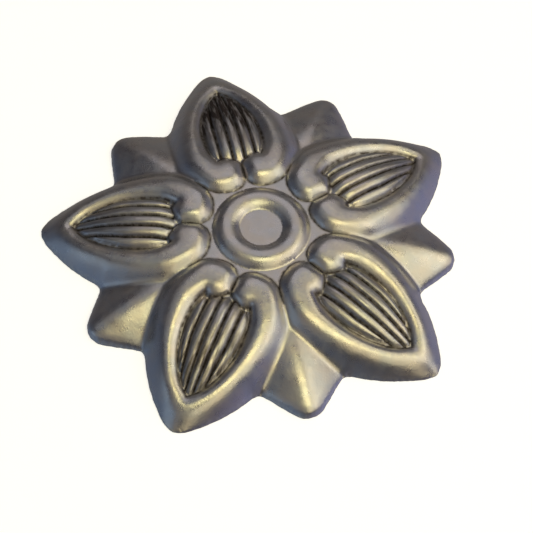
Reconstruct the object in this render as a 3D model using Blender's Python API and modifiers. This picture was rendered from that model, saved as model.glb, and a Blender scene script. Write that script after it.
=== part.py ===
"""Trunk rosette pressed from sheet steel: five ribbed petals over five roof-shaped points."""

import math

import bmesh
import bpy
import numpy as np
from mathutils import Vector
from mathutils.geometry import delaunay_2d_cdt

# Driving dimensions, in millimetres
MM = 0.001
PETALS = 5
PETAL_RADIUS = 31.75
POINT_RADIUS = 28.05
SHEET = 0.8
RIM_WIDTH = 1.0
EDGE_HEIGHT = 0.25

# Centre disc and the rounded ring about it
DISC_RADIUS = 3.05
DISC_HEIGHT = 5.5
RING_RADIUS = 4.95
RING_HEIGHT = 6.25
RING_OUTER_RADIUS = 6.9
RING_ROUND = 2.2
VALLEY_HEIGHT = 5.2
VALLEY_RADIUS = 9.5
VALLEY_FALL = 0.05

# Roof-shaped points between the petals
RIDGE_HEIGHT = 4.05
RIDGE_RADIUS = 14.0
RIDGE_FALL = 0.0145
RIDGE_ROUND = 1.0
ROOF_SPREAD = 0.0127
ROOF_CURVE = 0.03
VALLEY_BLEND = 1.2
SHOULDER = 0.8

# Rolled rim of a petal
CREST_HEIGHT = 6.55
CREST_FALL = 4.1
CREST_START = 8.0
CREST_END = 28.3
CREST_BEND = 1.55
WALL_BEND = 2.6
TIP_BEND = 0.7
TIP_BEND_START = 13.0
TIP_BEND_END = 24.0
LIP_DROP = 0.8
TIP_RISE = 0.35
KNOB_DROP = 0.25
KNOB_BEND = 3.6
KNOB_END = 15.0
KNOB_START = 11.5
LIP_BEND = 1.6
LIP_WIDTH = 0.4

# Ribbed pod in a petal
POD_HEIGHT = 5.8
POD_TOP_RADIUS = 15.0
POD_RISE = 0.095
POD_FALL = 0.0265
POD_CROWN = 0.06
RIB_DEPTH = 0.55
RIB_ROUND = 3.6
RIB_PITCH = 1.72
RIB_TAPER_START = 19.0
RIB_TAPER = 0.085
RIB_END = 0.6

# Half a petal and half of the point beside it: x across from the petal's axis, y along it
KNOB = (2.45, 9.9)
CLEFT_TOP = (0.0, 11.3)
NOTCH = (0.0, 8.6)
JUNCTION = (8.75, 22.3)
OUTLINE = [
    (0.0, PETAL_RADIUS),
    (0.8, 31.52),
    (2.14, 30.66),
    (4.04, 28.75),
    (5.69, 26.78),
    (7.08, 24.68),
    (8.0, 23.0),
    JUNCTION,
    (9.9, 22.3),
    (12.1, 22.78),
    (14.6, 23.2),
    (15.6, 23.1),
]
CREST = [
    KNOB,
    (4.0, 9.95),
    (5.0, 11.0),
    (5.6, 12.9),
    (5.95, 15.3),
    (5.85, 18.0),
    (5.25, 20.9),
    (4.3, 23.4),
    (2.95, 25.8),
    (1.5, 27.5),
    (0.7, 28.25),
    (0.0, 28.5),
]
FIELD_CORNER = (3.3, 12.55)
FIELD_END = [
    CLEFT_TOP,
    (0.6, 12.0),
    (1.4, 12.6),
    (2.4, 12.95),
    FIELD_CORNER,
]
FIELD_SIDE = [
    FIELD_CORNER,
    (3.95, 13.9),
    (4.3, 15.6),
    (4.35, 17.6),
    (4.1, 19.7),
    (3.5, 21.8),
    (2.6, 23.9),
    (1.5, 25.7),
    (0.0, 27.1),
]
CREASE_START = 10.0
CREASE_END = 14.25
FOOT_HEEL = [
    NOTCH,
    (0.7, 7.65),
    (1.6, 7.15),
    (2.7, 6.97),
    (3.9, 7.1),
    (4.95, 7.45),
]
FOOT_SIDE = [
    (8.95, 13.2),
    (9.15, 15.4),
    (9.15, 17.9),
    (9.0, 20.2),
    JUNCTION,
]

# Mesh spacing
STEP = 1.2
BACK_STEP = 1.5
BACK_GAP = 0.7
RING_STEP = 0.62
CURVE_STEP = 0.4
RIB_STEP = 1.4
RIB_LINES = 11
FILL_GAP = 0.6
ROW_GAP = 0.28
WELD = 1e-5
SNAP = 0.02
MARGIN = 0.01
TINY = 1e-9
BALL_RINGS = 4
BALL_TURN = math.pi / 6
RIM_SAMPLES = 301
WALL_ROWS = (0.25, 0.5, 0.75)
SHARP_ANGLE = math.radians(40)

# Colour and roughness of the steel
STEEL = (0.33, 0.30, 0.28, 1)
ROUGHNESS = 0.35

SECTOR = 2 * math.pi / PETALS
HALF_SECTOR = SECTOR / 2
AXIS_OFFSET = (PETAL_RADIUS - POINT_RADIUS) / 2


def on_side(radius):
    """Point at a radius on the line midway between two petals."""
    return (radius * math.sin(HALF_SECTOR), radius * math.cos(HALF_SECTOR))


def spline(points, spacing):
    """Even steps along a smooth curve through the points."""
    knots = [np.array(point, float) for point in points]
    knots = [2 * knots[0] - knots[1]] + knots + [2 * knots[-1] - knots[-2]]
    fine = [knots[1]]
    for a, b, c, d in zip(knots, knots[1:], knots[2:], knots[3:]):
        for t in np.linspace(0.05, 1, 20):
            square = (2 * a - 5 * b + 4 * c - d) * t**2
            cube = (3 * b - a - 3 * c + d) * t**3
            fine.append((2 * b + (c - a) * t + square + cube) / 2)
    return resample(np.array(fine), spacing)


def resample(path, spacing):
    """The same path in even steps of about the spacing."""
    lengths = np.hypot(*np.diff(path, axis=0).T)
    along = np.concatenate([[0], np.cumsum(lengths)])
    count = max(1, round(along[-1] / spacing))
    even = np.linspace(0, along[-1], count + 1)
    return np.column_stack([np.interp(even, along, path[:, axis]) for axis in (0, 1)])


def arc(radius, spacing):
    """Arc about the rosette's axis across half a sector."""
    count = max(1, round(radius * HALF_SECTOR / spacing))
    angles = np.linspace(0, HALF_SECTOR, count + 1)
    return np.column_stack([radius * np.sin(angles), radius * np.cos(angles)])


def outline_path(spacing):
    """Outer edge from a petal's tip to the tip of the point beside it."""
    return spline(OUTLINE + [on_side(POINT_RADIUS)], spacing)


def foot_path(spacing):
    """Where a petal's rim meets what is round it: cleft, heel, crease and outer side."""
    start, end = on_side(CREASE_START), on_side(CREASE_END)
    cleft = resample(np.array([CLEFT_TOP, NOTCH]), spacing)
    heel = spline(FOOT_HEEL + [start], spacing)
    crease = resample(np.array([start, end]), spacing)
    side = spline([end] + FOOT_SIDE, spacing)
    return np.concatenate([cleft, heel[1:], crease[1:], side[1:]])


def field_path(spacing):
    """Edge of the ribbed pod: its end against the knobs, then its side out to the tip."""
    return np.concatenate([spline(FIELD_END, spacing), spline(FIELD_SIDE, spacing)[1:]])


def petal_edge(spacing):
    """The part of the outer edge that belongs to the petal, from the junction to the tip."""
    return spline(OUTLINE[: OUTLINE.index(JUNCTION) + 1], spacing)[::-1]


def closest(x, y, path):
    """Distance from each point to a path, and the nearest place on it."""
    best = np.full(np.shape(x), np.inf)
    place = np.zeros(np.shape(x) + (2,))
    for (ax, ay), (bx, by) in zip(path, path[1:]):
        ux, uy = bx - ax, by - ay
        t = np.clip(((x - ax) * ux + (y - ay) * uy) / (ux**2 + uy**2), 0, 1)
        foot = np.stack([ax + t * ux, ay + t * uy], -1)
        distance = np.hypot(x - foot[..., 0], y - foot[..., 1])
        nearer = distance < best
        best = np.where(nearer, distance, best)
        place = np.where(nearer[..., None], foot, place)
    return best, place


def nearest(x, y, path):
    """Distance from each point to a path."""
    return closest(x, y, path)[0]


def enclosed(x, y, path):
    """Whether each point is inside the closed path."""
    crossings = np.zeros(np.shape(x), bool)
    for (ax, ay), (bx, by) in zip(path, np.roll(path, -1, axis=0)):
        if ay != by:
            between = (ay > y) != (by > y)
            crossings ^= between & (x < (bx - ax) * (y - ay) / (by - ay) + ax)
    return crossings


def inset(path, distance):
    """The path moved to its right by the distance, where that keeps clear of the rest of it."""
    along = np.gradient(path, axis=0)
    normal = np.column_stack([along[:, 1], -along[:, 0]])
    moved = path + distance * normal / np.hypot(*normal.T)[:, None]
    return moved[nearest(moved[:, 0], moved[:, 1], path) > distance - SNAP]


def soft_max(a, b, width):
    """The larger of two heights, blended where they differ by less than the width."""
    share = np.clip(1 - np.abs(a - b) / width, 0, 1)
    return np.maximum(a, b) + share**2 * width / 4


def smooth_step(low, high, value):
    t = np.clip((value - low) / (high - low), 0, 1)
    return t * t * (3 - 2 * t)


def ring_height(r):
    """Height of the flat disc, its rounded ring and the valley floor about them."""
    inner = np.clip((RING_RADIUS - r) / (RING_RADIUS - DISC_RADIUS), 0, 1)
    outer = np.clip((r - RING_RADIUS) / (RING_OUTER_RADIUS - RING_RADIUS), 0, 1)
    drop = (RING_HEIGHT - DISC_HEIGHT) * inner**RING_ROUND
    return RING_HEIGHT - drop - (RING_HEIGHT - VALLEY_HEIGHT) * outer**RING_ROUND


def floor_height(x, y):
    """Height of everything but the petals: disc, ring, valley and roof-shaped point."""
    r = np.hypot(x, y)
    across = r * np.sin(HALF_SECTOR - np.arctan2(x, y))
    along = r * np.cos(HALF_SECTOR - np.arctan2(x, y))
    valley = ring_height(r) - VALLEY_FALL * np.clip(r - VALLEY_RADIUS, 0, None) ** 2
    ridge = RIDGE_HEIGHT - RIDGE_FALL * np.clip(along - RIDGE_RADIUS, 0, None) ** 2
    slope = ROOF_SPREAD * along
    roof = ridge - slope * (np.sqrt(across**2 + RIDGE_ROUND**2) - RIDGE_ROUND)
    roof -= ROOF_CURVE * across**2
    lifted = np.maximum(soft_max(valley, roof, VALLEY_BLEND), EDGE_HEIGHT)
    share = np.clip(nearest(x, y, OUTLINE_PATH) / SHOULDER, 0, 1)
    return EDGE_HEIGHT + (lifted - EDGE_HEIGHT) * np.sqrt(share * (2 - share))


def rib_height(x, y):
    """Height of the ribbed pod: five rounded ribs with sharp grooves between them."""
    pitch = RIB_PITCH - RIB_TAPER * np.clip(y - RIB_TAPER_START, 0, None)
    turn = np.abs(x) / pitch
    groove = 2 * np.abs(turn - np.round(turn))
    inward = np.clip(POD_TOP_RADIUS - y, 0, None)
    outward = np.clip(y - POD_TOP_RADIUS, 0, None)
    crown = POD_HEIGHT - POD_RISE * inward**2 - POD_FALL * outward**2
    full = smooth_step(0, RIB_END, nearest(x, y, RECESS_PATH))
    return crown - POD_CROWN * x**2 - RIB_DEPTH * (1 - full * (1 - groove**RIB_ROUND))


def crest_height(x, y):
    """Height of the top of a petal's rolled rim."""
    t = (np.hypot(x, y) - CREST_START) / (CREST_END - CREST_START)
    return CREST_HEIGHT - CREST_FALL * np.clip(t, 0, None) ** CREST_BEND


CREST_PATH = spline(CREST, CURVE_STEP)
FIELD_PATH = field_path(CURVE_STEP)
RECESS_PATH = spline(FIELD_SIDE, CURVE_STEP)
FOOT_PATH = np.concatenate([foot_path(CURVE_STEP), petal_edge(CURVE_STEP)[1:]])
OUTLINE_PATH = outline_path(CURVE_STEP)
SECTOR_LOOP = np.concatenate([OUTLINE_PATH, [(0, 0)]])


def front_height(x, y):
    """Height of the face side at points of half a sector."""
    floor = floor_height(x, y)
    crest = crest_height(x, y)
    to_crest = nearest(x, y, CREST_PATH)
    to_foot = nearest(x, y, FOOT_PATH) + TINY
    to_field = nearest(x, y, FIELD_PATH) + TINY
    bend = WALL_BEND - TIP_BEND * smooth_step(TIP_BEND_START, TIP_BEND_END, y)
    wall = crest - (crest - floor) * (to_crest / (to_crest + to_foot)) ** bend
    knob = smooth_step(KNOB_END, KNOB_START, y)
    drop = LIP_DROP + KNOB_DROP * knob - TIP_RISE * smooth_step(TIP_BEND_END, CREST_END, y)
    lip = crest - drop * (to_crest / (to_crest + to_field)) ** (LIP_BEND + KNOB_BEND * knob)
    inward = to_foot**2 / (to_foot**2 + to_field**2)
    rim = wall + (lip - wall) * inward
    sunk = smooth_step(0, LIP_WIDTH, to_field)
    field = (crest - drop) * (1 - sunk) + rib_height(x, y) * sunk
    height = np.where(enclosed(x, y, FOOT_PATH), rim, floor)
    return np.where(enclosed(x, y, FIELD_PATH), field, height)


def folded(x, y):
    """Points anywhere, turned and mirrored into the first half sector."""
    angle = np.abs((np.arctan2(x, y) + HALF_SECTOR) % SECTOR - HALF_SECTOR)
    r = np.hypot(x, y)
    return r * np.sin(angle), r * np.cos(angle)


def back_height(x, y):
    """Height of the hollow side: the face side less a ball as thick as the sheet."""
    height = np.full(np.shape(x), np.inf)
    for reach in np.linspace(0, SHEET, BALL_RINGS):
        for turn in np.arange(0, 2 * math.pi, BALL_TURN):
            u, v = folded(x + reach * math.sin(turn), y + reach * math.cos(turn))
            below = math.sqrt(SHEET**2 - reach**2)
            height = np.minimum(height, front_height(u, v) - below)
    return np.maximum(height, 0)


def inset_outline(spacing):
    """The outer edge moved inwards by the width of the flat rim."""
    moved = inset(OUTLINE_PATH, RIM_WIDTH)
    angle = np.arctan2(moved[:, 0], moved[:, 1])
    kept = moved[(angle > MARGIN) & (angle < HALF_SECTOR - MARGIN)]
    start = (0, rim_end(0, PETAL_RADIUS))
    end = on_side(rim_end(HALF_SECTOR, POINT_RADIUS))
    return resample(np.concatenate([[start], kept, [end]]), spacing)


def rim_end(angle, radius):
    """Radius at which a line out from the axis is a rim's width from the outer edge."""
    radii = np.linspace(radius - 3 * RIM_WIDTH, radius, RIM_SAMPLES)
    gaps = nearest(radii * math.sin(angle), radii * math.cos(angle), OUTLINE_PATH)
    return radii[gaps > RIM_WIDTH][-1]


def rib_lines():
    """Lines along the ribs: grooves, crests and the flanks between them."""
    lines = []
    for quarter in range(1, RIB_LINES):
        y = np.arange(CLEFT_TOP[1] + STEP, FIELD_SIDE[-1][1], RIB_STEP)
        x = quarter / 4 * (RIB_PITCH - RIB_TAPER * np.clip(y - RIB_TAPER_START, 0, None))
        inside = enclosed(x, y, FIELD_PATH) & (nearest(x, y, FIELD_PATH) > ROW_GAP)
        lines.append(np.column_stack([x, y])[inside])
    return lines


def rows_between(path, target, shares):
    """Rows of points from a path towards the nearest places on another."""
    places = closest(path[:, 0], path[:, 1], target)[1]
    return np.concatenate([path + share * (places - path) for share in shares])


def shoulder_row():
    """Points where the rounded shoulder inside the outer edge of the points ends."""
    points = inset(outline_path(STEP), SHOULDER)
    inside = enclosed(points[:, 0], points[:, 1], SECTOR_LOOP)
    return points[inside & ~enclosed(points[:, 0], points[:, 1], FOOT_PATH)]


def honeycomb(spacing):
    """Even points over half a sector."""
    rows = np.arange(0, PETAL_RADIUS, spacing * math.sqrt(3) / 2)
    points = []
    for number, y in enumerate(rows):
        first = spacing / 2 if number % 2 else spacing
        last = y * math.tan(HALF_SECTOR) - spacing / 3
        points += [(x, y) for x in np.arange(first, last, spacing)]
    return np.array(points)


def snapped(x, y):
    """The point, moved onto a straight edge of the half sector if it is on it."""
    if abs(x) < SNAP:
        return (0.0, y)
    if on_side_edge(x, y):
        return on_side(math.hypot(x, y))
    return (x, y)


def on_side_edge(x, y):
    return abs(x * math.cos(HALF_SECTOR) - y * math.sin(HALF_SECTOR)) < SNAP


class Sheet:
    """Points and fixed lines of one face of the half sector, joined into triangles."""

    def __init__(self):
        self.points = []
        self.lines = []

    def add(self, point):
        """Number of the point, which is an earlier point's if that is at the same place."""
        x, y = snapped(*point)
        for number, (px, py) in enumerate(self.points):
            if math.hypot(x - px, y - py) < SNAP / 4:
                return number
        self.points.append((x, y))
        return len(self.points) - 1

    def line(self, path):
        """A fixed line along the path."""
        numbers = [self.add(point) for point in path]
        self.lines += [pair for pair in zip(numbers, numbers[1:]) if pair[0] != pair[1]]

    def scatter(self, path, gap):
        """Adds those points of the path that keep a gap to all that are there."""
        for point in path:
            others = np.array(self.points)
            if np.hypot(*(others - point).T).min() > gap:
                self.add(point)

    def straight_edges(self, spacing):
        """Fixed lines along the two straight edges of the half sector, between the points there."""
        for edge, sine, cosine in EDGES:
            radii = sorted(x * sine + y * cosine for x, y in self.points if edge(x, y))
            marks = []
            for low, high in zip(radii, radii[1:]):
                count = max(1, round((high - low) / spacing))
                marks += list(np.linspace(low, high, count + 1)[:-1])
            self.line([(r * sine, r * cosine) for r in marks + radii[-1:]])

    def triangles(self):
        points = [Vector(point) for point in self.points]
        corners, _, faces, *_ = delaunay_2d_cdt(points, self.lines, [], 1, WELD)
        return np.array([snapped(*corner) for corner in corners]), faces


EDGES = (
    (lambda x, y: x == 0, 0.0, 1.0),
    (on_side_edge, math.sin(HALF_SECTOR), math.cos(HALF_SECTOR)),
)


def front_sheet():
    """Face side: fixed lines along its features, and loose points between them."""
    sheet = Sheet()
    sheet.add((0, 0))
    sheet.line(outline_path(STEP))
    field = field_path(STEP)
    foot = np.concatenate([foot_path(STEP), petal_edge(STEP)[1:]])
    sheet.line(foot_path(STEP))
    sheet.line(field)
    sheet.line(spline(CREST, STEP))
    for radius in np.arange(DISC_RADIUS, RING_OUTER_RADIUS + MARGIN, RING_STEP):
        sheet.line(arc(radius, STEP))
    for line in rib_lines():
        sheet.line(line)
    sheet.straight_edges(STEP)
    sheet.scatter(inset(spline(FIELD_SIDE, STEP)[::-1], LIP_WIDTH), LIP_WIDTH)
    sheet.scatter(rows_between(field, CREST_PATH, (0.5,)), ROW_GAP)
    sheet.scatter(rows_between(foot, CREST_PATH, WALL_ROWS), FILL_GAP)
    sheet.scatter(shoulder_row(), ROW_GAP)
    points = honeycomb(STEP)
    inside = enclosed(points[:, 0], points[:, 1], SECTOR_LOOP)
    ribbed = enclosed(points[:, 0], points[:, 1], FIELD_PATH)
    sheet.scatter(points[inside & ~ribbed], FILL_GAP)
    return sheet.triangles()


def back_sheet():
    """Hollow side, inside the flat rim."""
    sheet = Sheet()
    sheet.add((0, 0))
    sheet.line(inset_outline(BACK_STEP))
    sheet.straight_edges(BACK_STEP)
    loop = np.concatenate([inset_outline(BACK_STEP), [(0, 0)]])
    points = np.concatenate([foot_path(BACK_STEP), spline(CREST, BACK_STEP), honeycomb(BACK_STEP)])
    inside = enclosed(points[:, 0], points[:, 1], loop)
    sheet.scatter(points[inside], BACK_GAP)
    return sheet.triangles()


def rim_sheet():
    """Flat rim that the rosette rests on, between its outer edge and the hollow."""
    sheet = Sheet()
    sheet.line(outline_path(STEP))
    sheet.line(inset_outline(BACK_STEP))
    sheet.straight_edges(RIM_WIDTH)
    return sheet.triangles()


def add_faces(mesh, places, faces, upward):
    """Adds triangles to the mesh, facing up or down."""
    corners = [mesh.verts.new([MM * value for value in place]) for place in places]
    for face in faces:
        loop = [corners[number] for number in face]
        flat = [places[number] for number in face]
        area = (flat[1][0] - flat[0][0]) * (flat[2][1] - flat[0][1])
        area -= (flat[2][0] - flat[0][0]) * (flat[1][1] - flat[0][1])
        mesh.faces.new(loop if (area > 0) == upward else loop[::-1])


def add_wall(mesh):
    """Adds the upright edge of the sheet along the outline."""
    path = [snapped(*point) for point in outline_path(STEP)]
    for (ax, ay), (bx, by) in zip(path, path[1:]):
        top = [(ax, ay, EDGE_HEIGHT), (bx, by, EDGE_HEIGHT)]
        bottom = [(bx, by, 0), (ax, ay, 0)]
        mesh.faces.new([mesh.verts.new([MM * value for value in place]) for place in top + bottom])


def half_sector():
    """Mesh of half a petal with half of the point beside it, open at its straight edges."""
    mesh = bmesh.new()
    points, faces = front_sheet()
    heights = front_height(points[:, 0], points[:, 1])
    on_outline = nearest(points[:, 0], points[:, 1], OUTLINE_PATH) < SNAP
    heights[on_outline] = EDGE_HEIGHT
    add_faces(mesh, np.column_stack([points, heights]), faces, True)
    points, faces = back_sheet()
    heights = back_height(points[:, 0], points[:, 1])
    inner = inset_outline(BACK_STEP)
    heights[nearest(points[:, 0], points[:, 1], inner) < SNAP] = 0
    add_faces(mesh, np.column_stack([points, heights]), faces, False)
    points, faces = rim_sheet()
    add_faces(mesh, np.column_stack([points, np.zeros(len(points))]), faces, False)
    add_wall(mesh)
    bmesh.ops.remove_doubles(mesh, verts=mesh.verts, dist=WELD)
    data = bpy.data.meshes.new("rosette")
    mesh.to_mesh(data)
    mesh.free()
    return data


def steel():
    """Satin steel, darkened brown-grey."""
    material = bpy.data.materials.new("satin steel")
    material.use_nodes = True
    shader = material.node_tree.nodes["Principled BSDF"]
    shader.inputs["Base Color"].default_value = STEEL
    shader.inputs["Metallic"].default_value = 1
    shader.inputs["Roughness"].default_value = ROUGHNESS
    return material


def rosette(parts):
    """Half sector mirrored, then repeated about the rosette's axis."""
    body = bpy.data.objects.new("rosette", half_sector())
    body.location.y = -AXIS_OFFSET * MM
    parts.objects.link(body)
    body.data.materials.append(steel())
    turn = bpy.data.objects.new("sector turn", None)
    turn.location = body.location
    turn.rotation_euler.z = SECTOR
    turn.hide_render = True
    parts.objects.link(turn)
    mirror = body.modifiers.new("other half", "MIRROR")
    mirror.merge_threshold = WELD
    array = body.modifiers.new("petals", "ARRAY")
    array.count = PETALS
    array.use_relative_offset = False
    array.use_object_offset = True
    array.offset_object = turn
    weld = body.modifiers.new("seams", "WELD")
    weld.merge_threshold = WELD
    body.data.shade_smooth()
    body.data.set_sharp_from_angle(angle=SHARP_ANGLE)


def build():
    for found in list(bpy.data.objects):
        bpy.data.objects.remove(found)
    parts = bpy.data.collections.new("trunk rosette")
    bpy.context.scene.collection.children.link(parts)
    rosette(parts)


build()
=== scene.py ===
"""Trunk rosette of satin steel on a pale table, seen from above under soft studio light."""

import math

import bpy
import numpy as np
from mathutils import Matrix, Vector, noise
from mathutils.geometry import delaunay_2d_cdt


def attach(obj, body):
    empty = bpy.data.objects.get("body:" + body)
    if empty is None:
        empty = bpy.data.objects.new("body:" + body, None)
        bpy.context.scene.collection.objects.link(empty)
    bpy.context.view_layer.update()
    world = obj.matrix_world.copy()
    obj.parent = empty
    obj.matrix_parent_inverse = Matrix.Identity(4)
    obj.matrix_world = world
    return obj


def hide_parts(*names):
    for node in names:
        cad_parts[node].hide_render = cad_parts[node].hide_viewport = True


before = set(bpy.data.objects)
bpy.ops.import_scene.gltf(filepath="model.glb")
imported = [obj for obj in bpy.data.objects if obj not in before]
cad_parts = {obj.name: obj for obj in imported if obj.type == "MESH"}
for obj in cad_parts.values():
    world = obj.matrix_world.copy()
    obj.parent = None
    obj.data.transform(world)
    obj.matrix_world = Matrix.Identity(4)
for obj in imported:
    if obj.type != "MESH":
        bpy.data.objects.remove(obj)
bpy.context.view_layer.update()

# Driving dimensions of the solid, in millimetres
MM = 0.001
PETALS = 5
PETAL_RADIUS = 31.75
POINT_RADIUS = 28.05
SHEET = 0.8
RIM_WIDTH = 1.0
EDGE_HEIGHT = 0.25

# Centre disc and the rounded ring about it
DISC_RADIUS = 3.05
DISC_HEIGHT = 5.5
RING_RADIUS = 4.95
RING_HEIGHT = 6.25
RING_OUTER_RADIUS = 6.9
RING_ROUND = 2.2
VALLEY_HEIGHT = 5.2
VALLEY_RADIUS = 9.5
VALLEY_FALL = 0.05

# Roof-shaped points between the petals
RIDGE_HEIGHT = 4.05
RIDGE_RADIUS = 14.0
RIDGE_FALL = 0.0145
RIDGE_ROUND = 1.0
ROOF_SPREAD = 0.0127
ROOF_CURVE = 0.03
VALLEY_BLEND = 1.2
SHOULDER = 0.8

# Rolled rim of a petal
CREST_HEIGHT = 6.55
CREST_FALL = 4.1
CREST_START = 8.0
CREST_END = 28.3
CREST_BEND = 1.55
WALL_BEND = 2.6
TIP_BEND = 0.7
TIP_BEND_START = 13.0
TIP_BEND_END = 24.0
LIP_DROP = 0.8
TIP_RISE = 0.35
KNOB_DROP = 0.25
KNOB_BEND = 3.6
KNOB_END = 15.0
KNOB_START = 11.5
LIP_BEND = 1.6
LIP_WIDTH = 0.4

# Ribbed pod in a petal
POD_HEIGHT = 5.8
POD_TOP_RADIUS = 15.0
POD_RISE = 0.095
POD_FALL = 0.0265
POD_CROWN = 0.06
RIB_DEPTH = 0.55
RIB_ROUND = 3.6
RIB_PITCH = 1.72
RIB_TAPER_START = 19.0
RIB_TAPER = 0.085
RIB_END = 0.6

# Half a petal and half of the point beside it: x across from the petal's axis, y along it
KNOB = (2.45, 9.9)
CLEFT_TOP = (0.0, 11.3)
NOTCH = (0.0, 8.6)
JUNCTION = (8.75, 22.3)
OUTLINE = [
    (0.0, PETAL_RADIUS),
    (0.8, 31.52),
    (2.14, 30.66),
    (4.04, 28.75),
    (5.69, 26.78),
    (7.08, 24.68),
    (8.0, 23.0),
    JUNCTION,
    (9.9, 22.3),
    (12.1, 22.78),
    (14.6, 23.2),
    (15.6, 23.1),
]
CREST = [
    KNOB,
    (4.0, 9.95),
    (5.0, 11.0),
    (5.6, 12.9),
    (5.95, 15.3),
    (5.85, 18.0),
    (5.25, 20.9),
    (4.3, 23.4),
    (2.95, 25.8),
    (1.5, 27.5),
    (0.7, 28.25),
    (0.0, 28.5),
]
FIELD_CORNER = (3.3, 12.55)
FIELD_END = [
    CLEFT_TOP,
    (0.6, 12.0),
    (1.4, 12.6),
    (2.4, 12.95),
    FIELD_CORNER,
]
FIELD_SIDE = [
    FIELD_CORNER,
    (3.95, 13.9),
    (4.3, 15.6),
    (4.35, 17.6),
    (4.1, 19.7),
    (3.5, 21.8),
    (2.6, 23.9),
    (1.5, 25.7),
    (0.0, 27.1),
]
CREASE_START = 10.0
CREASE_END = 14.25
FOOT_HEEL = [
    NOTCH,
    (0.7, 7.65),
    (1.6, 7.15),
    (2.7, 6.97),
    (3.9, 7.1),
    (4.95, 7.45),
]
FOOT_SIDE = [
    (8.95, 13.2),
    (9.15, 15.4),
    (9.15, 17.9),
    (9.0, 20.2),
    JUNCTION,
]

SECTOR = 2 * math.pi / PETALS
HALF_SECTOR = SECTOR / 2
AXIS_OFFSET = (PETAL_RADIUS - POINT_RADIUS) / 2

# Fine mesh, with the digits to which places count as the same
STEP = 0.21
BACK_STEP = 0.7
CURVE_STEP = 0.3
CLEAR = 0.45
ON_EDGE = 0.004
MARGIN = 0.01
WELD = 1e-5
TINY = 1e-9
SAME_PLACE = 3
SAME_POINT = 4
SAME_RADIUS = 6
SPLINE_STEPS = 20
RIM_SEARCH = 301
BALL_RINGS = 4
BALL_TURN = math.pi / 6
FINE_SHARES = (0.5, 1)
SHOULDER_SHARES = (0.3, 0.65, 1)
SHARP_ANGLE = math.radians(50)

# Evening out of the rounded forms, away from grooves and creases
EVEN_REACHES = (0.3, 0.6)
EVEN_TURN = math.pi / 4
EVEN_START = 0.1
EVEN_END = 0.9

# Unevenness of the pressing, in millimetres, and the depth at which each noise is read
SHRINK = 0.9965
WARP = 0.09
WARP_SCALE = 9.0
WARP_ACROSS = 7.5
WARP_ALONG = 10.5
WAVE = 0.07
WAVE_SCALE = 5.0
WAVE_DEPTH = 1.5
RIPPLE = 0.014
RIPPLE_SCALE = 1.3
RIPPLE_DEPTH = 4.5
WAVE_FADE = 2.5
BURR = 0.07
BURR_SCALE = 0.45
BURR_DEPTH = 2.5
BURR_WIDTH = 0.5

# Surface of the steel: how far painted shade and dirt reach from a groove, edge or crease, in
# millimetres, and how dark each petal's ribs are, clockwise from the petal on +Y
GROOVE_SHADE_AND_DIRT = 0.55
EDGE_SHADE_AND_DIRT = 0.4
CREASE_SHADE_AND_DIRT = 0.3
CREASE_FADE = 0.8
# Wear with painted highlight: its reach from the outer edge in millimetres, and its share on the
# crests
EDGE_WEAR_AND_HIGHLIGHT = 0.45
CREST_WEAR_AND_HIGHLIGHT = 0.5
RIB_STAINS = (1.6, 0.5, 0.4, 0.9, 0.5)
STAIN_CENTRES = (23.0, 23.0, 17.0, 22.0, 24.0)
STAIN_REACH = 7.0
LEAF_GAP = 50.0

# Colours of the film, of the bare metal with its painted highlight and of the dirt with its
# painted shade, and how rough they are
FILM_COOL = (0.50, 0.50, 0.51, 1)
FILM_WARM = (0.56, 0.52, 0.49, 1)
BARE_AND_HIGHLIGHT = (0.72, 0.68, 0.58, 1)
SHADE_AND_DIRT_COLOUR = (0.07, 0.055, 0.05, 1)
ROUGH_LOW = 0.27
ROUGH_HIGH = 0.36
SHADE_AND_DIRT_ROUGH = 0.25
GRAIN = 0.000018

# How many times each pattern repeats in a metre, and how streaks stretch along a petal
FILM_SCALE = 320
ROUGH_SCALE = 700
SHADE_AND_DIRT_SCALE = 1400
WEAR_AND_HIGHLIGHT_SCALE = 1800
GRAIN_SCALE = 3600
STREAK_STRETCH = (2.2, 0.3, 1)

# Table top in metres, and how bright it is
TABLE_SIZE = 1.6
TABLE_COLOUR = (0.85, 0.85, 0.85, 1)
TABLE_ROUGH = 0.7
TABLE_GLOW = 0.6

# Camera: where the photograph was taken from, about the rosette's axis
VIEW_ELEVATION = math.radians(58.611)
VIEW_ROLL = math.radians(3.058)
VIEW_TURN = math.radians(-17.062)
VIEW_DISTANCE = 225.0
VIEW_TARGET = (1.03, -3.107, 0.0)
LENS = 106.72
SENSOR = 36.0
CLIP_START = 0.01

# Lamps' distance in metres, and the room's glow with its azimuths from the camera's right
LAMP_DISTANCE = 0.6
FAINT = (0.048, 0.046, 0.057)
LOW_ELEVATION = -25
LOW_GLOWS = (
    (0, (0.27, 0.28, 0.46)),
    (90, (0.17, 0.155, 0.13)),
    (210, (0.12, 0.18, 0.28)),
    (270, (0.04, 0.03, 0.01)),
)


def on_side(radius):
    """Point at a radius on the line midway between two petals."""
    return (radius * math.sin(HALF_SECTOR), radius * math.cos(HALF_SECTOR))


def spline(points, spacing):
    """Even steps along a smooth curve through the points."""
    knots = [np.array(point, float) for point in points]
    knots = [2 * knots[0] - knots[1]] + knots + [2 * knots[-1] - knots[-2]]
    fine = [knots[1]]
    for a, b, c, d in zip(knots, knots[1:], knots[2:], knots[3:]):
        for t in np.linspace(1 / SPLINE_STEPS, 1, SPLINE_STEPS):
            square = (2 * a - 5 * b + 4 * c - d) * t**2
            cube = (3 * b - a - 3 * c + d) * t**3
            fine.append((2 * b + (c - a) * t + square + cube) / 2)
    return resample(np.array(fine), spacing)


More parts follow.
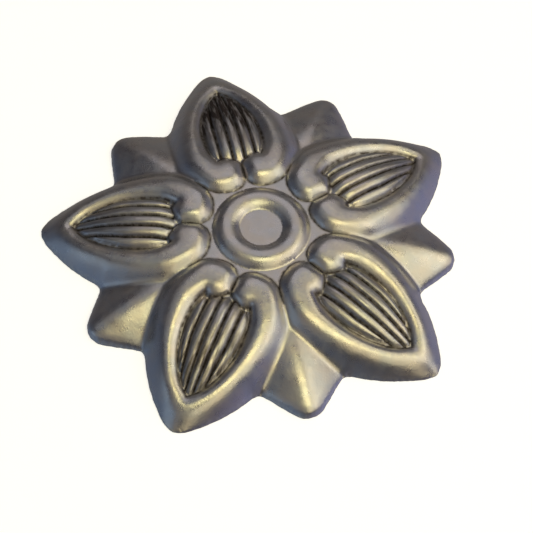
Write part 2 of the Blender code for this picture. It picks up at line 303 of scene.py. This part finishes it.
def resample(path, spacing):
    """The same path in even steps of about the spacing."""
    lengths = np.hypot(*np.diff(path, axis=0).T)
    along = np.concatenate([[0], np.cumsum(lengths)])
    count = max(1, round(along[-1] / spacing))
    even = np.linspace(0, along[-1], count + 1)
    return np.column_stack([np.interp(even, along, path[:, axis]) for axis in (0, 1)])


def arc(radius, spacing):
    """Arc about the rosette's axis across half a sector."""
    count = max(1, round(radius * HALF_SECTOR / spacing))
    angles = np.linspace(0, HALF_SECTOR, count + 1)
    return np.column_stack([radius * np.sin(angles), radius * np.cos(angles)])


def outline_path(spacing):
    """Outer edge from a petal's tip to the tip of the point beside it."""
    return spline(OUTLINE + [on_side(POINT_RADIUS)], spacing)


def foot_path(spacing):
    """Where a petal's rim meets what is round it: cleft, heel, crease and outer side."""
    start, end = on_side(CREASE_START), on_side(CREASE_END)
    cleft = resample(np.array([CLEFT_TOP, NOTCH]), spacing)
    heel = spline(FOOT_HEEL + [start], spacing)
    crease = resample(np.array([start, end]), spacing)
    side = spline([end] + FOOT_SIDE, spacing)
    return np.concatenate([cleft, heel[1:], crease[1:], side[1:]])


def field_path(spacing):
    """Edge of the ribbed pod: its end against the knobs, then its side out to the tip."""
    return np.concatenate([spline(FIELD_END, spacing), spline(FIELD_SIDE, spacing)[1:]])


def petal_edge(spacing):
    """The part of the outer edge that belongs to the petal, from the junction to the tip."""
    return spline(OUTLINE[: OUTLINE.index(JUNCTION) + 1], spacing)[::-1]


def nearest(x, y, path):
    """Distance from each point to a path."""
    best = np.full(np.shape(x), np.inf)
    for (ax, ay), (bx, by) in zip(path, path[1:]):
        ux, uy = bx - ax, by - ay
        t = np.clip(((x - ax) * ux + (y - ay) * uy) / (ux**2 + uy**2), 0, 1)
        best = np.minimum(best, (x - ax - t * ux) ** 2 + (y - ay - t * uy) ** 2)
    return np.sqrt(best)


def enclosed(x, y, path):
    """Whether each point is inside the closed path."""
    crossings = np.zeros(np.shape(x), bool)
    for (ax, ay), (bx, by) in zip(path, np.roll(path, -1, axis=0)):
        if ay != by:
            between = (ay > y) != (by > y)
            crossings ^= between & (x < (bx - ax) * (y - ay) / (by - ay) + ax)
    return crossings


def inset(path, distance):
    """The path moved to its right by the distance, where that keeps clear of the rest of it."""
    along = np.gradient(path, axis=0)
    normal = np.column_stack([along[:, 1], -along[:, 0]])
    moved = path + distance * normal / np.hypot(*normal.T)[:, None]
    return moved[nearest(moved[:, 0], moved[:, 1], path) > distance - MARGIN]


def soft_max(a, b, width):
    """The larger of two heights, blended where they differ by less than the width."""
    share = np.clip(1 - np.abs(a - b) / width, 0, 1)
    return np.maximum(a, b) + share**2 * width / 4


def smooth_step(low, high, value):
    t = np.clip((value - low) / (high - low), 0, 1)
    return t * t * (3 - 2 * t)


def ring_height(r):
    """Height of the flat disc, its rounded ring and the valley floor about them."""
    inner = np.clip((RING_RADIUS - r) / (RING_RADIUS - DISC_RADIUS), 0, 1)
    outer = np.clip((r - RING_RADIUS) / (RING_OUTER_RADIUS - RING_RADIUS), 0, 1)
    drop = (RING_HEIGHT - DISC_HEIGHT) * inner**RING_ROUND
    return RING_HEIGHT - drop - (RING_HEIGHT - VALLEY_HEIGHT) * outer**RING_ROUND


def floor_height(x, y):
    """Height of everything but the petals: disc, ring, valley and roof-shaped point."""
    r = np.hypot(x, y)
    across = r * np.sin(HALF_SECTOR - np.arctan2(x, y))
    along = r * np.cos(HALF_SECTOR - np.arctan2(x, y))
    valley = ring_height(r) - VALLEY_FALL * np.clip(r - VALLEY_RADIUS, 0, None) ** 2
    ridge = RIDGE_HEIGHT - RIDGE_FALL * np.clip(along - RIDGE_RADIUS, 0, None) ** 2
    slope = ROOF_SPREAD * along
    roof = ridge - slope * (np.sqrt(across**2 + RIDGE_ROUND**2) - RIDGE_ROUND)
    roof -= ROOF_CURVE * across**2
    lifted = np.maximum(soft_max(valley, roof, VALLEY_BLEND), EDGE_HEIGHT)
    share = np.clip(nearest(x, y, OUTLINE_PATH) / SHOULDER, 0, 1)
    return EDGE_HEIGHT + (lifted - EDGE_HEIGHT) * np.sqrt(share * (2 - share))


def rib_height(x, y):
    """Height of the ribbed pod: five rounded ribs with sharp grooves between them."""
    pitch = RIB_PITCH - RIB_TAPER * np.clip(y - RIB_TAPER_START, 0, None)
    turn = np.abs(x) / pitch
    groove = 2 * np.abs(turn - np.round(turn))
    inward = np.clip(POD_TOP_RADIUS - y, 0, None)
    outward = np.clip(y - POD_TOP_RADIUS, 0, None)
    crown = POD_HEIGHT - POD_RISE * inward**2 - POD_FALL * outward**2
    full = smooth_step(0, RIB_END, nearest(x, y, RECESS_PATH))
    return crown - POD_CROWN * x**2 - RIB_DEPTH * (1 - full * (1 - groove**RIB_ROUND))


def crest_height(x, y):
    """Height of the top of a petal's rolled rim."""
    t = (np.hypot(x, y) - CREST_START) / (CREST_END - CREST_START)
    return CREST_HEIGHT - CREST_FALL * np.clip(t, 0, None) ** CREST_BEND


CREST_PATH = spline(CREST, CURVE_STEP)
FIELD_PATH = field_path(CURVE_STEP)
RECESS_PATH = spline(FIELD_SIDE, CURVE_STEP)
FOOT_PATH = np.concatenate([foot_path(CURVE_STEP), petal_edge(CURVE_STEP)[1:]])
OUTLINE_PATH = outline_path(CURVE_STEP)
SECTOR_LOOP = np.concatenate([OUTLINE_PATH, [(0, 0)]])


def front_height(x, y):
    """Height of the face side at points of half a sector."""
    floor = floor_height(x, y)
    crest = crest_height(x, y)
    to_crest = nearest(x, y, CREST_PATH)
    to_foot = nearest(x, y, FOOT_PATH) + TINY
    to_field = nearest(x, y, FIELD_PATH) + TINY
    bend = WALL_BEND - TIP_BEND * smooth_step(TIP_BEND_START, TIP_BEND_END, y)
    wall = crest - (crest - floor) * (to_crest / (to_crest + to_foot)) ** bend
    knob = smooth_step(KNOB_END, KNOB_START, y)
    drop = LIP_DROP + KNOB_DROP * knob - TIP_RISE * smooth_step(TIP_BEND_END, CREST_END, y)
    lip = crest - drop * (to_crest / (to_crest + to_field)) ** (LIP_BEND + KNOB_BEND * knob)
    inward = to_foot**2 / (to_foot**2 + to_field**2)
    rim = wall + (lip - wall) * inward
    sunk = smooth_step(0, LIP_WIDTH, to_field)
    field = (crest - drop) * (1 - sunk) + rib_height(x, y) * sunk
    height = np.where(enclosed(x, y, FOOT_PATH), rim, floor)
    return np.where(enclosed(x, y, FIELD_PATH), field, height)


def folded(x, y):
    """Points anywhere, turned and mirrored into the first half sector."""
    angle = np.abs((np.arctan2(x, y) + HALF_SECTOR) % SECTOR - HALF_SECTOR)
    r = np.hypot(x, y)
    return r * np.sin(angle), r * np.cos(angle)


def even_height(x, y):
    """Height of the face side, averaged over small patches away from its grooves and creases."""
    height = front_height(x, y)
    samples = [height]
    for reach in EVEN_REACHES:
        for turn in np.arange(0, 2 * math.pi, EVEN_TURN):
            place = folded(x + reach * math.sin(turn), y + reach * math.cos(turn))
            samples.append(front_height(*place))
    r = np.hypot(x, y)
    crisp = nearest(x, y, FOOT_PATH) + smooth_step(CREASE_START, CREASE_END, r)
    gap = np.minimum(nearest(x, y, FIELD_PATH), nearest(x, y, OUTLINE_PATH))
    gap = np.minimum(np.minimum(gap, crisp), r - RING_OUTER_RADIUS)
    gap[enclosed(x, y, FIELD_PATH)] = 0
    return height + smooth_step(EVEN_START, EVEN_END, gap) * (np.mean(samples, axis=0) - height)


def back_height(x, y):
    """Height of the hollow side: the face side less a ball as thick as the sheet."""
    height = np.full(np.shape(x), np.inf)
    for reach in np.linspace(0, SHEET, BALL_RINGS):
        for turn in np.arange(0, 2 * math.pi, BALL_TURN):
            u, v = folded(x + reach * math.sin(turn), y + reach * math.cos(turn))
            below = math.sqrt(SHEET**2 - reach**2)
            height = np.minimum(height, front_height(u, v) - below)
    return np.maximum(height, 0)


def rim_end(angle, radius):
    """Radius at which a line out from the axis is a rim's width from the outer edge."""
    radii = np.linspace(radius - 3 * RIM_WIDTH, radius, RIM_SEARCH)
    gaps = nearest(radii * math.sin(angle), radii * math.cos(angle), OUTLINE_PATH)
    return radii[gaps > RIM_WIDTH][-1]


def inset_outline(spacing):
    """The outer edge moved inwards by the width of the flat rim."""
    moved = inset(OUTLINE_PATH, RIM_WIDTH)
    angle = np.arctan2(moved[:, 0], moved[:, 1])
    kept = moved[(angle > MARGIN) & (angle < HALF_SECTOR - MARGIN)]
    start = (0, rim_end(0, PETAL_RADIUS))
    end = on_side(rim_end(HALF_SECTOR, POINT_RADIUS))
    return resample(np.concatenate([[start], kept, [end]]), spacing)


def rib_lines(spacing):
    """Lines along the grooves and the crests of the ribs."""
    lines = []
    y = np.arange(CLEFT_TOP[1] + STEP, FIELD_SIDE[-1][1], spacing)
    pitch = RIB_PITCH - RIB_TAPER * np.clip(y - RIB_TAPER_START, 0, None)
    for half in range(1, 6):
        x = half / 2 * pitch
        inside = enclosed(x, y, FIELD_PATH) & (nearest(x, y, FIELD_PATH) > STEP / 2)
        lines.append(np.column_stack([x, y])[inside])
    return lines


def snap(points):
    """Points within a hair of a straight edge of the half sector, moved onto it."""
    x, y = points[:, 0].copy(), points[:, 1].copy()
    x[np.abs(x) < ON_EDGE] = 0
    sine, cosine = math.sin(HALF_SECTOR), math.cos(HALF_SECTOR)
    side = np.abs(x * cosine - y * sine) < ON_EDGE
    r = x * sine + y * cosine
    return np.column_stack([np.where(side, r * sine, x), np.where(side, r * cosine, y)])


def edge_lines(lines, ends, spacing):
    """Lines along the two straight edges of the half sector, through the ends of the others."""
    points = snap(np.concatenate(lines))
    found = []
    for angle in (0, HALF_SECTOR):
        sine, cosine = math.sin(angle), math.cos(angle)
        off = np.abs(points[:, 0] * cosine - points[:, 1] * sine)
        radii = points[off < TINY] @ (sine, cosine)
        radii = np.unique(np.round(np.concatenate([radii, ends]), SAME_RADIUS))
        marks = [radii[-1:]]
        for low, high in zip(radii, radii[1:]):
            count = max(1, round((high - low) / spacing))
            marks.append(np.linspace(low, high, count + 1)[:-1])
        marks = np.sort(np.concatenate(marks))
        found.append(np.column_stack([marks * sine, marks * cosine]))
    return found


def honeycomb(spacing, lines):
    """Even points over half a sector that keep clear of the lines."""
    rows = np.arange(0, PETAL_RADIUS, spacing * math.sqrt(3) / 2)
    points = []
    for number, y in enumerate(rows):
        first = spacing / 2 if number % 2 else spacing
        points += [(x, y) for x in np.arange(first, y * math.tan(HALF_SECTOR), spacing)]
    return clear_of(np.array(points), lines, CLEAR * spacing)


def clear_of(points, lines, gap):
    """Those of the points that keep a gap to all the lines."""
    for line in lines:
        points = points[nearest(points[:, 0], points[:, 1], line) > gap]
    return points


def fine_rows(lines):
    """Rows along the pod's sunk edge and along the shoulder inside the outer edge."""
    rows = [inset(spline(FIELD_SIDE, STEP)[::-1], share * LIP_WIDTH) for share in FINE_SHARES]
    rows += [inset(outline_path(STEP), share * SHOULDER) for share in SHOULDER_SHARES]
    rows = [row[enclosed(row[:, 0], row[:, 1], SECTOR_LOOP)] for row in rows]
    return [clear_of(row, lines, CLEAR / 2 * STEP) for row in rows]


def triangulated(lines, loose):
    """Triangles over the lines and the loose points."""
    points = []
    pairs = []
    numbers = {}
    for line in lines:
        row = []
        for x, y in snap(line):
            key = (round(x, SAME_POINT), round(y, SAME_POINT))
            if key not in numbers:
                numbers[key] = len(points)
                points.append(Vector((x, y)))
            row.append(numbers[key])
        pairs += [pair for pair in zip(row, row[1:]) if pair[0] != pair[1]]
    points += [Vector(point) for point in loose]
    corners, _, faces, *_ = delaunay_2d_cdt(points, pairs, [], 1, WELD)
    return snap(np.array([tuple(corner) for corner in corners])), np.array(faces)


def front_sheet():
    """Face side of half a sector: points, heights and triangles."""
    lines = [outline_path(STEP), foot_path(STEP), field_path(STEP), spline(CREST, STEP)]
    lines += [arc(radius, STEP) for radius in (DISC_RADIUS, RING_RADIUS, RING_OUTER_RADIUS)]
    lines += rib_lines(STEP)
    lines += edge_lines(lines, [0], STEP)
    rows = fine_rows(lines)
    loose = honeycomb(STEP, lines + rows)
    loose = loose[enclosed(loose[:, 0], loose[:, 1], SECTOR_LOOP)]
    points, faces = triangulated(lines, np.concatenate(rows + [loose]))
    height = even_height(points[:, 0], points[:, 1])
    height[nearest(points[:, 0], points[:, 1], OUTLINE_PATH) < ON_EDGE] = EDGE_HEIGHT
    return np.column_stack([points, height]), faces


def back_sheet():
    """Hollow side of half a sector, inside the flat rim."""
    inner = inset_outline(STEP)
    lines = [inner]
    lines += edge_lines(lines, [0], BACK_STEP)
    loose = honeycomb(BACK_STEP, lines)
    loose = loose[enclosed(loose[:, 0], loose[:, 1], np.concatenate([inner, [(0, 0)]]))]
    points, faces = triangulated(lines, loose)
    height = back_height(points[:, 0], points[:, 1])
    height[nearest(points[:, 0], points[:, 1], inner) < ON_EDGE] = 0
    return np.column_stack([points, height]), faces


def rim_sheet():
    """Flat rim of half a sector that the rosette rests on."""
    outer, inner = outline_path(STEP), inset_outline(STEP)
    lines = [outer, inner]
    for end in (0, -1):
        lines.append(np.array([inner[end], outer[end]]))
    points, faces = triangulated(lines, [])
    return np.column_stack([points, np.zeros(len(points))]), faces


def wall():
    """Upright edge of the sheet along the outline."""
    path = snap(outline_path(STEP))
    count = len(path)
    top = np.column_stack([path, np.full(count, EDGE_HEIGHT)])
    bottom = np.column_stack([path, np.zeros(count)])
    low = np.arange(count - 1)
    one = np.column_stack([low, low + 1, low + 1 + count])
    other = np.column_stack([low, low + 1 + count, low + count])
    return np.concatenate([top, bottom]), np.concatenate([one, other])


def around(points, faces, upward):
    """Half a sector, mirrored and repeated about the axis, with its faces turned up or down."""
    a, b, c = (points[faces[:, corner]] for corner in range(3))
    area = (b[:, 0] - a[:, 0]) * (c[:, 1] - a[:, 1]) - (c[:, 0] - a[:, 0]) * (b[:, 1] - a[:, 1])
    turned = (area > 0) != upward
    if not area.any():
        turned[:] = False
    faces = np.where(turned[:, None], faces[:, ::-1], faces)
    places, triangles = [], []
    for petal in range(PETALS):
        sine, cosine = math.sin(petal * SECTOR), math.cos(petal * SECTOR)
        for side in (1, -1):
            x, y, z = (points * (side, 1, 1)).T
            places.append(np.column_stack([x * cosine + y * sine, y * cosine - x * sine, z]))
            start = len(points) * (len(places) - 1)
            triangles.append(start + (faces if side > 0 else faces[:, ::-1]))
    return np.concatenate(places), np.concatenate(triangles)


def joined(parts):
    """Points and triangles of all parts, with points at the same place made one."""
    places = np.concatenate([part[0] for part in parts])
    starts = np.cumsum([0] + [len(part[0]) for part in parts])
    triangles = np.concatenate([part[1] + start for part, start in zip(parts, starts)])
    rounded = np.round(places, SAME_PLACE)
    _, first, number = np.unique(rounded, axis=0, return_index=True, return_inverse=True)
    triangles = number.reshape(-1)[triangles]
    ends = np.sort(triangles, axis=1)
    whole = (ends[:, 0] != ends[:, 1]) & (ends[:, 1] != ends[:, 2])
    return places[first], triangles[whole]


def wavering(places, scale, depth):
    """Smooth noise from -1 to 1 at each place."""
    spots = places[:, :2] / scale
    return np.array([noise.noise(Vector((x, y, depth))) for x, y in spots])


def uneven(places):
    """The places with the small differences that a worn die and handling leave."""
    u, v = folded(places[:, 0], places[:, 1])
    inland = smooth_step(0, WAVE_FADE, nearest(u, v, OUTLINE_PATH))
    lift = WAVE * wavering(places, WAVE_SCALE, WAVE_DEPTH)
    lift += RIPPLE * wavering(places, RIPPLE_SCALE, RIPPLE_DEPTH)
    moved = places.copy()
    moved[:, 2] += inland * (lift - WAVE)
    moved[:, 2] = np.maximum(moved[:, 2], 0)
    edge = 1 - smooth_step(0, BURR_WIDTH, nearest(u, v, OUTLINE_PATH))
    ragged = wavering(places, BURR_SCALE, BURR_DEPTH) - 1
    burr = BURR * edge * ragged / (np.hypot(u, v) + TINY)
    for axis, depth in enumerate((WARP_ACROSS, WARP_ALONG)):
        warp = WARP * wavering(places, WARP_SCALE, depth)
        moved[:, axis] = (SHRINK + burr) * places[:, axis] + warp
    return moved


def shade_and_dirt(u, v):
    """Share of painted shade and dirt from 0 to 1: in the grooves, under the pod's edge and in the
    creases.
    """
    pitch = RIB_PITCH - RIB_TAPER * np.clip(v - RIB_TAPER_START, 0, None)
    off_groove = pitch * np.abs(np.abs(u) / pitch - np.floor(np.abs(u) / pitch) - 0.5)
    ribbed = enclosed(u, v, FIELD_PATH)
    grooves = ribbed * (1 - smooth_step(0, GROOVE_SHADE_AND_DIRT, off_groove))
    edge = 1 - smooth_step(0, EDGE_SHADE_AND_DIRT, nearest(u, v, FIELD_PATH))
    crease = 1 - smooth_step(0, CREASE_SHADE_AND_DIRT, nearest(u, v, FOOT_PATH))
    crease *= 1 - CREASE_FADE * smooth_step(CREASE_START, CREASE_END, np.hypot(u, v))
    return np.maximum(np.maximum(grooves, edge), crease)


def wear_and_highlight(u, v):
    """Share of bare bright metal and painted highlight from 0 to 1: along the outer edge and the
    rims' crests.
    """
    edge = 1 - smooth_step(0, EDGE_WEAR_AND_HIGHLIGHT, nearest(u, v, OUTLINE_PATH))
    crest = 1 - smooth_step(0, 2 * EDGE_WEAR_AND_HIGHLIGHT, nearest(u, v, CREST_PATH))
    return np.maximum(edge, CREST_WEAR_AND_HIGHLIGHT * crest)


def stain(u, v, petal):
    """Share of dark film on the ribs from 0 to 1, petal by petal."""
    strength, centre = np.array(RIB_STAINS)[petal], np.array(STAIN_CENTRES)[petal]
    return enclosed(u, v, FIELD_PATH) * strength * np.exp(-(((v - centre) / STAIN_REACH) ** 2))


def paint(mesh, places):
    """Painted shade with dirt, painted highlight with wear, stain and places along each petal,
    stored on the points for the steel.
    """
    u, v = folded(places[:, 0], places[:, 1])
    face = places[:, 2] > front_height(u, v) - SHEET / 2
    petal = np.round(np.arctan2(places[:, 0], places[:, 1]) / SECTOR).astype(int) % PETALS
    side = np.sign(np.sin(np.arctan2(places[:, 0], places[:, 1]) - petal * SECTOR))
    shares = {"shade_and_dirt": shade_and_dirt(u, v), "wear_and_highlight": wear_and_highlight(u, v), "stain": stain(u, v, petal)}
    for name, share in shares.items():
        layer = mesh.attributes.new(name, "FLOAT", "POINT")
        layer.data.foreach_set("value", np.where(face, share, 0))
    layer = mesh.attributes.new("leaf", "FLOAT_VECTOR", "POINT")
    layer.data.foreach_set("vector", np.column_stack([side * u, v, LEAF_GAP * petal]).ravel())


def rosette_mesh():
    parts = [around(*front_sheet(), True), around(*back_sheet(), False)]
    parts += [around(*rim_sheet(), False), around(*wall(), True)]
    places, triangles = joined(parts)
    mesh = bpy.data.meshes.new("rosette relief")
    final = uneven(places)
    final[:, 1] -= AXIS_OFFSET
    mesh.from_pydata((final * MM).tolist(), [], triangles.tolist())
    mesh.update()
    paint(mesh, places)
    mesh.shade_smooth()
    mesh.set_sharp_from_angle(angle=SHARP_ANGLE)
    return mesh


def added(tree, kind, inputs, output=0, **settings):
    """Output of a new node whose inputs are set to values or linked to other outputs."""
    node = tree.nodes.new(kind)
    for name, value in settings.items():
        setattr(node, name, value)
    for key, value in inputs.items():
        if isinstance(value, bpy.types.NodeSocket):
            tree.links.new(value, node.inputs[key])
        else:
            node.inputs[key].default_value = value
    return node.outputs[output]


def noisy(tree, place, scale, detail, low, high, soft=0.12):
    """Noise about each place, stretched so that it runs from low to high."""
    values = {"Vector": place, "Scale": scale, "Detail": detail}
    noise_share = added(tree, "ShaderNodeTexNoise", values)
    span = {0: noise_share, 1: 0.5 - soft, 2: 0.5 + soft, 3: low, 4: high}
    return added(tree, "ShaderNodeMapRange", span)


def combined(tree, operation, a, b):
    return added(tree, "ShaderNodeMath", {0: a, 1: b}, operation=operation, use_clamp=True)


def blended(tree, share, a, b):
    return added(tree, "ShaderNodeMix", {0: share, 6: a, 7: b}, 2, data_type="RGBA")


def steel():
    """Satin steel: mottled grey film, painted shade and dark dirt in the hollows, streaks on the
    ribs, worn edges with painted highlight.
    """
    material = bpy.data.materials.new("satin steel")
    material.use_nodes = True
    tree = material.node_tree
    shader = tree.nodes["Principled BSDF"]
    shader.inputs["Metallic"].default_value = 1
    place = added(tree, "ShaderNodeTexCoord", {}, "Object")
    share = {
        name: added(tree, "ShaderNodeAttribute", {}, "Fac", attribute_name=name)
        for name in ("shade_and_dirt", "wear_and_highlight", "stain")
    }
    leaf = added(tree, "ShaderNodeAttribute", {}, "Vector", attribute_name="leaf")
    stretch = {0: leaf, 1: STREAK_STRETCH}
    along = added(tree, "ShaderNodeVectorMath", stretch, operation="MULTIPLY")

    # Painted shade, with some dirt, darkens the grooves, the pod's edge and the creases
    ragged = noisy(tree, place, SHADE_AND_DIRT_SCALE, 4, 0.55, 1)
    hollow = combined(tree, "MULTIPLY", share["shade_and_dirt"], ragged)
    streaks = combined(tree, "MULTIPLY", share["stain"], noisy(tree, along, 1, 5, 0.1, 1))
    dark = combined(tree, "MAXIMUM", hollow, streaks)
    # Painted highlight, with some wear, brightens the outer edge and the rims' crests
    bare_and_highlight = combined(tree, "MULTIPLY", share["wear_and_highlight"], noisy(tree, place, WEAR_AND_HIGHLIGHT_SCALE, 3, 0, 1))

    film = blended(tree, noisy(tree, place, FILM_SCALE, 4, 0, 1), FILM_COOL, FILM_WARM)
    film = blended(tree, bare_and_highlight, film, BARE_AND_HIGHLIGHT)
    tree.links.new(blended(tree, dark, film, SHADE_AND_DIRT_COLOUR), shader.inputs["Base Color"])

    satin = noisy(tree, place, ROUGH_SCALE, 5, ROUGH_LOW, ROUGH_HIGH)
    rough = combined(tree, "ADD", satin, SHADE_AND_DIRT_ROUGH)
    tree.links.new(blended(tree, dark, satin, rough), shader.inputs["Roughness"])

    values = {"Vector": place, "Scale": GRAIN_SCALE, "Detail": 2}
    grain = added(tree, "ShaderNodeTexNoise", values)
    bump = added(tree, "ShaderNodeBump", {"Strength": 1, "Distance": GRAIN, "Height": grain})
    tree.links.new(bump, shader.inputs["Normal"])
    return material


def rosette():
    piece = bpy.data.objects.new("pressed_rosette", rosette_mesh())
    bpy.context.scene.collection.objects.link(piece)
    piece.data.materials.append(steel())
    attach(piece, "root")
    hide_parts("rosette")


def table():
    """Pale matt table top."""
    bpy.ops.mesh.primitive_plane_add(size=TABLE_SIZE)
    top = bpy.context.object
    top.name = "table_top"
    material = bpy.data.materials.new("pale table")
    material.use_nodes = True
    shader = material.node_tree.nodes["Principled BSDF"]
    shader.inputs["Base Color"].default_value = TABLE_COLOUR
    shader.inputs["Roughness"].default_value = TABLE_ROUGH
    shader.inputs["Emission Color"].default_value = (1, 1, 1, 1)
    shader.inputs["Emission Strength"].default_value = TABLE_GLOW
    top.data.materials.append(material)
    top.visible_glossy = False


def direction(azimuth, elevation):
    """Unit vector towards an azimuth, counted from the camera's right, and an elevation."""
    flat, turn = math.cos(math.radians(elevation)), math.radians(azimuth) + VIEW_TURN
    return Vector((flat * math.cos(turn), flat * math.sin(turn), math.sin(math.radians(elevation))))


def lamp(name, azimuth, elevation, size, power, colour):
    """Round soft light aimed at the rosette."""
    light = bpy.data.lights.new(name, "AREA")
    light.shape = "DISK"
    light.energy = power
    light.color = colour
    light.size = size
    fitting = bpy.data.objects.new(name, light)
    bpy.context.scene.collection.objects.link(fitting)
    side = direction(azimuth, elevation)
    fitting.location = LAMP_DISTANCE * side
    fitting.rotation_euler = (-side).to_track_quat("-Z", "Y").to_euler()


def lights():
    """Warm lamps overhead, in front and to the right, with weaker ones about them."""
    lamp("overhead", 300, 78, 0.34, 0.70, (1.0, 0.90, 0.47))
    lamp("right", 0, 32, 0.45, 0.38, (1.0, 0.94, 0.72))
    lamp("right front", 298, 42, 0.42, 0.48, (1.0, 0.88, 0.54))
    lamp("upper right", 342, 52, 0.36, 0.36, (1.0, 0.92, 0.66))
    lamp("right back", 27, 52, 0.34, 0.34, (1.0, 0.91, 0.62))
    lamp("back", 90, 54, 0.45, 0.29, (1.0, 0.94, 0.94))
    lamp("left back", 165, 64, 0.40, 0.09, (0.9, 0.95, 1.0))
    lamp("left", 205, 20, 0.40, 0.12, (0.62, 0.82, 1.0))
    lamp("left front", 235, 48, 0.40, 0.08, (1.0, 0.90, 0.72))
    room()


def room():
    """Dim surroundings: a faint glow all round, and more from low down on each side."""
    world = bpy.data.worlds.new("room")
    world.use_nodes = True
    tree = world.node_tree
    toward = added(tree, "ShaderNodeTexCoord", {}, "Generated")
    total = FAINT
    for azimuth, colour in LOW_GLOWS:
        values = {0: toward, 1: direction(azimuth, LOW_ELEVATION)}
        facing = added(tree, "ShaderNodeVectorMath", values, "Value", operation="DOT_PRODUCT")
        facing = combined(tree, "POWER", combined(tree, "MAXIMUM", facing, 0), 2)
        glow = added(tree, "ShaderNodeVectorMath", {0: colour, "Scale": facing}, operation="SCALE")
        total = added(tree, "ShaderNodeVectorMath", {0: total, 1: glow}, operation="ADD")
    tree.links.new(total, tree.nodes["Background"].inputs["Color"])
    bpy.context.scene.world = world


def camera():
    """Camera at the photograph's viewing angle."""
    data = bpy.data.cameras.new("camera")
    data.sensor_width = SENSOR
    data.lens = LENS
    data.clip_start = CLIP_START
    eye = bpy.data.objects.new("camera", data)
    bpy.context.scene.collection.objects.link(eye)
    ahead = Vector((0, math.cos(VIEW_ELEVATION), -math.sin(VIEW_ELEVATION)))
    level = Vector((1, 0, 0))
    upright = level.cross(ahead)
    right = level * math.cos(VIEW_ROLL) + upright * math.sin(VIEW_ROLL)
    up = right.cross(ahead)
    place = MM * (Vector(VIEW_TARGET) - VIEW_DISTANCE * ahead)
    turn = Matrix.Translation((0, -AXIS_OFFSET * MM, 0)) @ Matrix.Rotation(VIEW_TURN, 4, "Z")
    axes = Matrix((right, up, -ahead)).transposed().to_4x4()
    eye.matrix_world = turn @ Matrix.Translation(place) @ axes
    bpy.context.scene.camera = eye


rosette()
table()
lights()
camera()
bpy.context.scene.view_settings.view_transform = "Standard"
bpy.context.view_layer.update()
